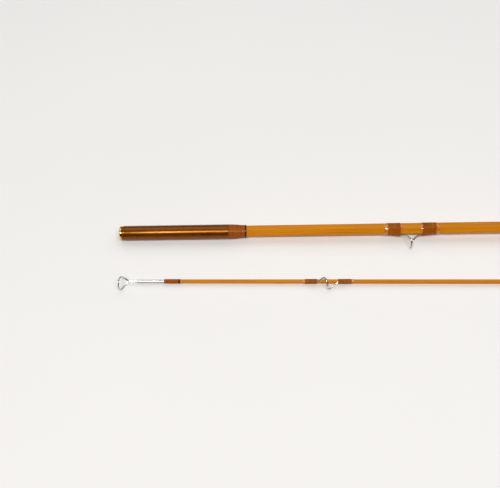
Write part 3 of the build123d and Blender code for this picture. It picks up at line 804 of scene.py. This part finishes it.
def make_female_ferrule(bronze, brass, silk, dark):
    tube = turned([
        (0, 2.80), (0, 3.12), (2.3, 3.12), (2.3, 3.65), (54.5, 3.65), (54.6, 3.42), (60, 3.20),
        (60, 3.14), (28, 3.14), (28, 2.80),
    ], 0.12, count=128)
    piece("female_ferrule_tube", tube, BUTT, bronze, ["female_ferrule"])
    rim = [(0, 3.13), (0, 3.33), (0.22, 3.55), (0.9, 3.55), (0.98, 3.36), (1.0, 3.13)]
    rim = turned(rim, 0.10, count=128, steps=5)
    piece("ferrule_welt_rim", rim, BUTT, brass, ["ferrule_welt"])
    step = [(1.0, 3.13), (1.0, 3.36), (1.42, 3.36), (1.5, 3.58), (2.25, 3.60), (2.29, 3.13)]
    step = turned(step, 0.10, count=128, steps=5)
    piece("ferrule_welt_step", step, BUTT, bronze, ["ferrule_welt"])
    plug = turned([(29.9, 0.4), (29.9, 3.12), (28.05, 3.12), (28.05, 0.4)], 0.1, closed=False)
    piece("moisture_plug_disc", plug, BUTT, bronze, ["moisture_plug"])
    only_cane = bare(BUTT_CANE)

    def under(along):
        tabs = 3.42 - 0.22 * ease(along, 54.5, 60)
        shrink = ease(along, 58.5, 61.5)
        return round_points(tabs * (1 - shrink) + 2.98 * shrink) + only_cane(along)

    wrap = wound(54.5, 62.7, under, taper=0.3)
    piece("butt_ferrule_wrap_silk", wrap, BUTT, silk, ["butt_ferrule_wrap"])
    trim = wound(62.62, 63.45, lambda along: round_points(3.02) + only_cane(along), 0.25, 0.25)
    piece("butt_ferrule_trim_silk", trim, BUTT, dark, ["butt_ferrule_trim"])


def make_tip_top(metal, satin, silk, dark):
    radius, leg = 0.32, 0.325
    half, corner_rise, rise = 3.35 - radius, 2.1, 5.8
    curve = curve_through([
        (5.0, -leg, 0), (1.45, -half, corner_rise), (radius + 0.1, -1.9, rise - 0.75),
        (radius, 0, rise - radius),
        (radius + 0.1, 1.9, rise - 0.75), (1.45, half, corner_rise), (5.0, leg, 0),
    ], (-1, 0, 0), (1, 0, 0), 160)
    left = np.column_stack([np.linspace(11.2, 5.2, 12), np.full(12, -leg), np.zeros(12)])
    right = left[::-1] * (1, -1, 1)
    piece("tip_top_loop_wire", wire(np.vstack([left, curve, right]), radius, up=(0, 0, 1)), TIP, metal,
          ["tip_top_loop"])
    tube = turned([
        (8.5, 0.66), (8.5, 0.80), (21.9, 0.80), (21.9, 0.62), (12.0, 0.62), (12.0, 0.66),
    ], 0.06, count=64)
    piece("tip_top_tube_metal", tube, TIP, satin, ["tip_top_tube"])
    only_cane = bare(TIP_CANE)

    def under(along):
        return round_points(0.72 + 0.12 * ease(along, 21.9, 24.5), 36) + only_cane(along)

    wrap = wound(21.85, 28.8, under, full=0.14, taper=0.4)
    piece("tip_top_wrap_silk", wrap, TIP, silk, ["tip_top_wrap"])
    trim = wound(28.75, 29.65, only_cane, full=0.15, taper=0.25)
    piece("tip_top_trim_silk", trim, TIP, dark, ["tip_top_trim"])


def make_male_ferrule(bronze, bright, silk, dark):
    tube = turned([
        (1100.5, 2.30), (1100.5, 2.58), (1106.5, 2.73), (1106.5, 2.98), (1128.1, 2.98), (1128.5, 2.775),
        (1156.7, 2.775), (1157.0, 2.47), (1157.0, 2.30),
    ], 0.12, count=128)
    piece("male_ferrule_tube", tube, TIP, bronze, ["male_ferrule"])
    plug = turned([(1155.0, 0.4), (1155.0, 2.29), (1156.9, 2.29), (1156.9, 0.4)], 0.1, closed=False)
    piece("male_ferrule_end", plug, TIP, bright, ["male_ferrule_plug"])

    def under(along):
        tabs = 2.58 + 0.15 * ease(along, 1100.5, 1106.5)
        core = round_points(tabs * ease(along, 1099.0, 1100.8))
        return core + eased_hexagon(min(flats_at(TIP_CANE, along), 5.06))

    wrap = wound(1094.5, 1106.5, under, taper=0.3)
    piece("tip_ferrule_wrap_silk", wrap, TIP, silk, ["tip_ferrule_wrap"])
    trim = wound(1093.65, 1094.55, under, full=0.25, taper=0.25)
    piece("tip_ferrule_trim_silk", trim, TIP, dark, ["tip_ferrule_trim"])


STRIP_AT, RING_HEIGHT = 420.0, 9.4
STRIP_HEEL, STRIP_FOOT = 9.0, 10.0
BEZEL_RADIUS, LEG_RADIUS, LEG_ANGLE = 4.475, 0.40, math.radians(35)


def guide_ring(inner, outer, half_width, edge):
    """A flat-sided ring about an axis parallel to the rod's, above it."""
    low, high = STRIP_AT - half_width, STRIP_AT + half_width
    outline = [(low, inner), (low, outer), (high, outer), (high, inner)]
    return turned(outline, edge, steps=6, centre=(0, RING_HEIGHT))


def strip_foot(run):
    """Half width and height of a stripping guide foot at a part of its length."""
    return 0.9 * (1 - 0.55 * ease(run, 0.45, 1)), 0.9 * (1 - 0.82 * ease(run, 0.3, 1))


def make_stripping_guide(bright, agate, silk, varnish):
    ring = guide_ring(3.1, 4.24, 1.3, 0.55)
    piece("stripping_ring_agate", ring, BUTT, agate, ["stripping_guide_ring"])
    at = STRIP_AT
    flat = flats_at(BUTT_CANE, at + STRIP_HEEL + STRIP_FOOT) / 2 + 0.01
    parts = [guide_ring(4.25, 4.70, 1.0, 0.2)]
    across, down = BEZEL_RADIUS * math.cos(LEG_ANGLE), BEZEL_RADIUS * math.sin(LEG_ANGLE)
    for way in (-1, 1):
        heel = at + way * STRIP_HEEL
        for side in (-1, 1):
            leg = curve_through([
                (heel, side * 0.45, flat + 0.45), (at + way * 4.4, side * 2.3, flat + 2.0),
                (at + way * 0.4, side * across, RING_HEIGHT - down),
            ], (-way, 0, 0.05), (-way * 0.7, -side * 0.3, 0.65), 40)
            parts.append(wire(leg, LEG_RADIUS))
        run = np.linspace(0, 1, 30)
        blunt = np.sqrt(np.clip(run * 14, 0.15, 1))
        wide, high = (size * blunt for size in strip_foot(run))
        along = heel - way * 1.3 + way * (STRIP_FOOT + 1.3) * run
        foot = np.column_stack([along, 0 * run, flat + high / 2])
        parts.append(wire(foot, wide, high / 2, count=28))
    piece("stripping_guide_wire", joined(*parts), BUTT, bright, ["stripping_guide_frame"])
    only_cane = bare(BUTT_CANE)

    def under(way):
        def held(along):
            points = only_cane(along)
            run = (way * (along - at) - STRIP_HEEL) / STRIP_FOOT
            if 0 <= run <= 1:
                wide, high = strip_foot(run)
                for side in (-1, 1):
                    points += [(side * wide, flat + high / 2), (side * 0.7 * wide, flat + high)]
            return points
        return held

    wraps = wound(at - 19.8, at - 8.8, under(-1)), wound(at + 8.8, at + 19.8, under(1))
    toes = run_out(at - 19.3, -1, only_cane), run_out(at + 19.3, 1, only_cane)
    wrap_pieces("stripping_guide", "stripping_guide_wraps", BUTT, silk, varnish, wraps, toes)


def make_hook_keeper(bright, silk, varnish):
    at, half_width, metal, arch, half, foot = 862.0, 0.9, 0.3, 1.5, 1.0, 5.5
    flat = flats_at(BUTT_CANE, at + foot) / 2 + 0.01
    middle = metal / 2
    bend = rounded([
        (at - foot, flat + middle), (at - half - middle, flat + middle),
        (at - half - middle, flat + arch - middle), (at + half + middle, flat + arch - middle),
        (at + half + middle, flat + middle), (at + foot, flat + middle),
    ], 0.35, False, 5)
    path = np.column_stack([bend[:, 0], 0 * bend[:, 0], bend[:, 1]])
    strap = flat_strip(path, half_width, middle)
    piece("hook_keeper_loop", strap, BUTT, bright, ["hook_keeper_strap"])
    pivot = flat + (arch - metal) / 2
    cos, sin = circle(72)
    radius, play = 2.4, 0.08
    loop = np.column_stack([np.full(72, at), radius * sin, pivot + radius - play + radius * cos])
    ring = wire(loop, 0.35, up=(1, 0, 0), looped=True)
    nodes = ["hook_keeper_ring"]
    piece("hook_keeper_wire_ring", ring, BUTT, bright, nodes, body="keeper_ring")

    only_cane = bare(BUTT_CANE)

    def under(along):
        points = only_cane(along)
        if abs(along - at) <= foot:
            points += [(-half_width, flat + metal), (half_width, flat + metal)]
        return points

    reach, near = foot + 2.0, half + metal + 0.7
    wraps = wound(at - reach, at - near, under), wound(at + near, at + reach, under)
    toes = run_out(at - reach + WRAP_LAP, -1, only_cane), run_out(at + reach - WRAP_LAP, 1, only_cane)
    wrap_pieces("hook_keeper", "hook_keeper_wraps", BUTT, silk, varnish, wraps, toes)


def flat_strip(path, half_width, half_height):
    """A flat metal strip along a path in the rod's own plane, with eased edges."""
    way = np.gradient(path, axis=0)
    way /= np.linalg.norm(way, axis=1)[:, None]
    up = np.column_stack([-way[:, 2], 0 * way[:, 0], way[:, 0]])
    side = np.array([0.0, 1.0, 0.0])
    corners = rounded([
        (-half_width, -half_height), (half_width, -half_height), (half_width, half_height),
        (-half_width, half_height),
    ], 0.09, True, 3)
    rings = path[:, None] + side * corners[None, :, :1] + up[:, None] * corners[None, :, 1:]
    return skin(rings, None, travel(path))


# ---------- grip and reel seat ----------

CORK_RING, GRIP_START, CORK_RINGS = 12.7, 889.0, 13
SEAT_START = GRIP_START + CORK_RINGS * CORK_RING
GRIP_OUTLINE = [(0.0, 7.2), (14.0, 8.6), (58.0, 12.4), (100.0, 11.2), (140.0, 10.3), (165.1, 10.9)]
CORK_BORE, PITS_PER_RING = 4.8, 60
POCKET_RISE = 4.4
THREAD_TURN = 1.25
SLEEVE_LENGTH, SPACER_END, SPACER_FLAT = 31.0, 1146.0, 7.6
PIN_AT = 1142.5
FLUTES = 36


def grip_radius(along):
    """The smooth outline through the grip's stations."""
    path = curve_through([(a, 0, r) for a, r in GRIP_OUTLINE], (1, 0, 0.10), (1, 0, 0.03), 400)
    return np.interp(along - GRIP_START, path[:, 0], path[:, 2])


def cork_ring(number):
    """One cork ring with its own pits, eased at both faces."""
    start = GRIP_START + number * CORK_RING
    count, steps = 168, 34
    along = start + CORK_RING * np.linspace(0, 1, steps)
    radius = grip_radius(along)
    edge = np.minimum(along - start, start + CORK_RING - along)
    radius = radius - 0.16 * np.exp(-(edge / 0.22) ** 2)
    angle = angles(count)
    depth = np.zeros((steps, count))
    mean = radius.mean()
    for pit in range(PITS_PER_RING):
        a, t = rng.uniform(start, start + CORK_RING), rng.uniform(0, 2 * np.pi)
        long, short, deep = rng.uniform(0.5, 1.9), rng.uniform(0.25, 0.6), rng.uniform(0.06, 0.34)
        lean = rng.uniform(-0.3, 0.3)
        across = ((angle - t + np.pi) % (2 * np.pi) - np.pi) * mean
        u, w = along[:, None] - a, across[None, :]
        first = u * math.cos(lean) - w * math.sin(lean)
        second = u * math.sin(lean) + w * math.cos(lean)
        depth = np.maximum(depth, deep * np.exp(-(first / short) ** 2 - (second / long) ** 2))
    rings = [round_ring(along[i], radius[i] - depth[i], angle) for i in range(steps)]
    rings += [round_ring(end, CORK_BORE, angle) for end in (along[-1], along[0])]
    grain = np.array([*along, along[-1] + 5, along[0] - 5])
    return skin(rings, np.linspace(0, 2 * np.pi * mean, count + 1), grain, looped=True)


def make_grip(bronze):
    material = cork_material()
    for number in range(CORK_RINGS):
        name = f"cork_ring_{number + 1}"
        piece(name, cork_ring(number), BUTT, material, ["grip_cork_rings"], sharp=60)
    bore = 7.9 / math.sqrt(3) + 0.02
    check = turned([
        (884.0, bore), (884.0, 5.3), (884.8, 5.8), (885.4, 5.6), (887.8, 6.5), (888.4, 6.7), (889.0, 6.7),
        (889.0, bore),
    ], 0.18, count=128, steps=5)
    piece("winding_check_ring", check, BUTT, bronze, ["winding_check"])


def hooded(profile, count=144):
    """Rings about the rod's axis joined to a pocket above it, from (along, radius, pocket radius)."""
    cos, sin = circle(count)
    middle = POCKET_RISE / 2
    rings = []
    for along, low, high in profile:
        reach = np.zeros(count)
        for centre, radius in ((-middle, low), (middle, high)):
            ahead = sin * centre
            square = radius ** 2 - centre ** 2 + ahead ** 2
            reach = np.maximum(reach, np.where(square > 0, ahead + np.sqrt(np.maximum(square, 0)), 0))
        rings.append(np.column_stack([np.full(count, along), reach * cos, middle + reach * sin]))
    return rings


def make_spacer(wood, sleeve_end):
    """The wooden spacer, flat on the side where the reel's foot lies."""
    profile = rounded([
        (SEAT_START, 4.03), (SEAT_START, 7.59), (sleeve_end, 7.59), (sleeve_end, 8.15),
        (SPACER_END, 8.15), (SPACER_END, 4.03),
    ], 0.2, True)
    rings = [round_ring(along, radius, angles(160)) for along, radius in profile]
    for ring in rings:
        if ring[0, 0] > sleeve_end + 0.01:
            ring[:, 2] = np.minimum(ring[:, 2], SPACER_FLAT)
    spacer = skin(rings, np.linspace(0, 51.2, 161), travel(profile, profile[0, 0]), looped=True)
    piece("seat_spacer_wood", spacer, BUTT, wood, ["seat_spacer"])


def make_sleeve(anodised, sleeve_end):
    """The threaded sleeve, its thread fading out before both ends."""
    stations = np.arange(SEAT_START, sleeve_end + 0.01, THREAD_TURN / 10)
    angle = angles(96)
    rings = []
    for along in stations:
        fade = ease(along, SEAT_START + 0.4, SEAT_START + 1.4)
        fade *= 1 - ease(along, sleeve_end - 1.2, sleeve_end - 0.4)
        phase = ((along - SEAT_START) / THREAD_TURN - angle / (2 * np.pi)) % 1
        groove = 0.40 * np.abs(2 * phase - 1) ** 1.5 * fade + 0.35 * ease(along, sleeve_end - 0.5, sleeve_end)
        rings.append(round_ring(along, 8.24 - groove, angle))
    rings += [round_ring(end, 7.61, angle) for end in (sleeve_end, SEAT_START)]
    grain = np.array([*stations, sleeve_end + 0.6, SEAT_START - 0.6])
    sleeve_skin = skin(rings, np.linspace(0, 51.8, 97), grain, looped=True)
    piece("seat_sleeve_thread", sleeve_skin, BUTT, anodised, ["seat_sleeve"], sharp=60)


def make_butt_cap(anodised, brass):
    cap = rounded([
        (1157.0, 6.5, 2.0), (1156.0, 8.7, 4.2), (1154.0, 9.5, 5.0), (1152.8, 8.9, 4.4),
        (1152.0, 9.5, 5.0), (1150.0, 9.5, 5.0), (1150.0, 9.5, 9.9), (1136.0, 9.5, 9.9),
        (1136.0, 8.16, 9.05), (SPACER_END, 8.16, 9.05),
    ], 0.35, False, 5)
    shell = skin(hooded(cap), np.linspace(0, 62, 145), travel(cap, cap[0, 0]))
    piece("butt_cap_shell", shell, BUTT, anodised, ["butt_cap"], sharp=35)
    head = rounded([(6.6, 0.0), (6.6, 0.8), (9.6, 0.8), (9.72, 0.5), (9.74, 0.0)], 0.12, False)
    cos, sin = circle(32)
    pins = []
    for side in (-1, 1):
        rings = []
        for out, radius in head:
            radius = max(radius, 0.02)
            rings.append(np.column_stack([PIN_AT + radius * cos, np.full(32, side * out), radius * sin]))
        pins.append(skin(rings, None, head[:, 0]))
    piece("butt_cap_pin_heads", joined(*pins), BUTT, brass, ["butt_cap_pins"])


def make_running_gear(anodised):
    """The knurled lock nut, and the sliding hood that it pushes."""
    start = SEAT_START + 2.0
    angle = angles(FLUTES * 8)
    off = (angle + np.pi / FLUTES) % (2 * np.pi / FLUTES) - np.pi / FLUTES
    profile = rounded([
        (start, 8.30, 0), (start, 9.9, 0.2), (start + 0.5, 10.3, 1), (start + 5.5, 10.3, 1),
        (start + 6.0, 9.9, 0.3), (start + 6.0, 9.5, 0), (start + 8.0, 9.5, 0), (start + 8.0, 8.30, 0),
    ], 0.18, True)
    flute = 0.36 * np.clip(1 - (off * 10.3 / 0.42) ** 2, 0, 1)
    rings = [round_ring(along, radius - flute * np.clip(cut, 0, 1), angle) for along, radius, cut in profile]
    around = np.linspace(0, 64.7, len(angle) + 1)
    nut = skin(rings, around, travel(profile, profile[0, 0]), looped=True)
    piece("lock_nut_knurled", nut, BUTT, anodised, ["lock_nut"], body="lock_nut", sharp=35)

    start += 8.1
    hood = rounded([
        (start, 9.5, 5.0), (start + 5, 9.5, 5.0), (start + 5, 9.5, 9.9), (start + 16, 9.5, 9.9),
        (start + 16, 8.3, 9.05), (start + 6, 8.3, 9.05), (start + 6, 8.3, 3.8), (start, 8.3, 3.8),
    ], 0.3, True, 5)
    shell = skin(hooded(hood), np.linspace(0, 62, 145), travel(hood, hood[0, 0]), looped=True)
    piece(
        "sliding_hood_shell", shell, BUTT, anodised, ["sliding_hood"],
        body="sliding_hood", sharp=35,
    )


# ---------- the rod ----------

make_camera()
make_studio()

bronze = bronze_material()
brass = metal_material("polished_brass", (0.80, 0.52, 0.11), 0.16, 0.3)
bright = metal_material("bright_steel", (0.66, 0.65, 0.63), 0.14, 0.25)
satin = metal_material("satin_steel", (0.62, 0.62, 0.63), 0.28, 0.15)
anodised = metal_material("seat_metal", (0.24, 0.10, 0.03), 0.30, 0.25, coat=0.2)
silk = silk_material("brown_silk", (0.19, 0.042, 0.0004), (0.44, 0.112, 0.0008))
dark = silk_material("dark_silk", (0.026, 0.0016, 0.001), (0.085, 0.005, 0.003), 0.5, 0.08)
varnish = varnish_material()

make_cane(
    BUTT, "butt", BUTT_CANE, BUTT_EDGE, (30.5, 1145.9), [(SEAT_START, 1200, 4.0)], 232.0,
    (1.02, 0.98, 1.04, 0.97, 1.0, 0.96),
)
make_cane(
    TIP, "tip", TIP_CANE, TIP_EDGE, (12.0, 1140.0), [(0, 21.9, 0.61), (1100.5, 1200, 2.28)], 236.0,
    (0.98, 1.02, 0.97, 1.03, 1.0, 0.99),
)
make_female_ferrule(bronze, brass, silk, dark)
names = ("butt_snake_guide", "butt_snake_wraps")
make_guide(BUTT, BUTT_GUIDE, BUTT_CANE, names, bright, silk, varnish)
make_stripping_guide(bright, agate_material(), silk, varnish)
make_hook_keeper(bright, silk, varnish)
make_grip(bronze)
make_spacer(wood_material(), SEAT_START + SLEEVE_LENGTH)
make_sleeve(anodised, SEAT_START + SLEEVE_LENGTH)
make_butt_cap(anodised, brass)
make_running_gear(anodised)
make_tip_top(bright, satin, silk, dark)
for number, guide in enumerate(TIP_GUIDES, start=1):
    names = (f"tip_snake_guide_{number}", f"tip_snake_wraps_{number}")
    make_guide(TIP, guide, TIP_CANE, names, bright, silk, varnish)
make_male_ferrule(bronze, bright, silk, dark)
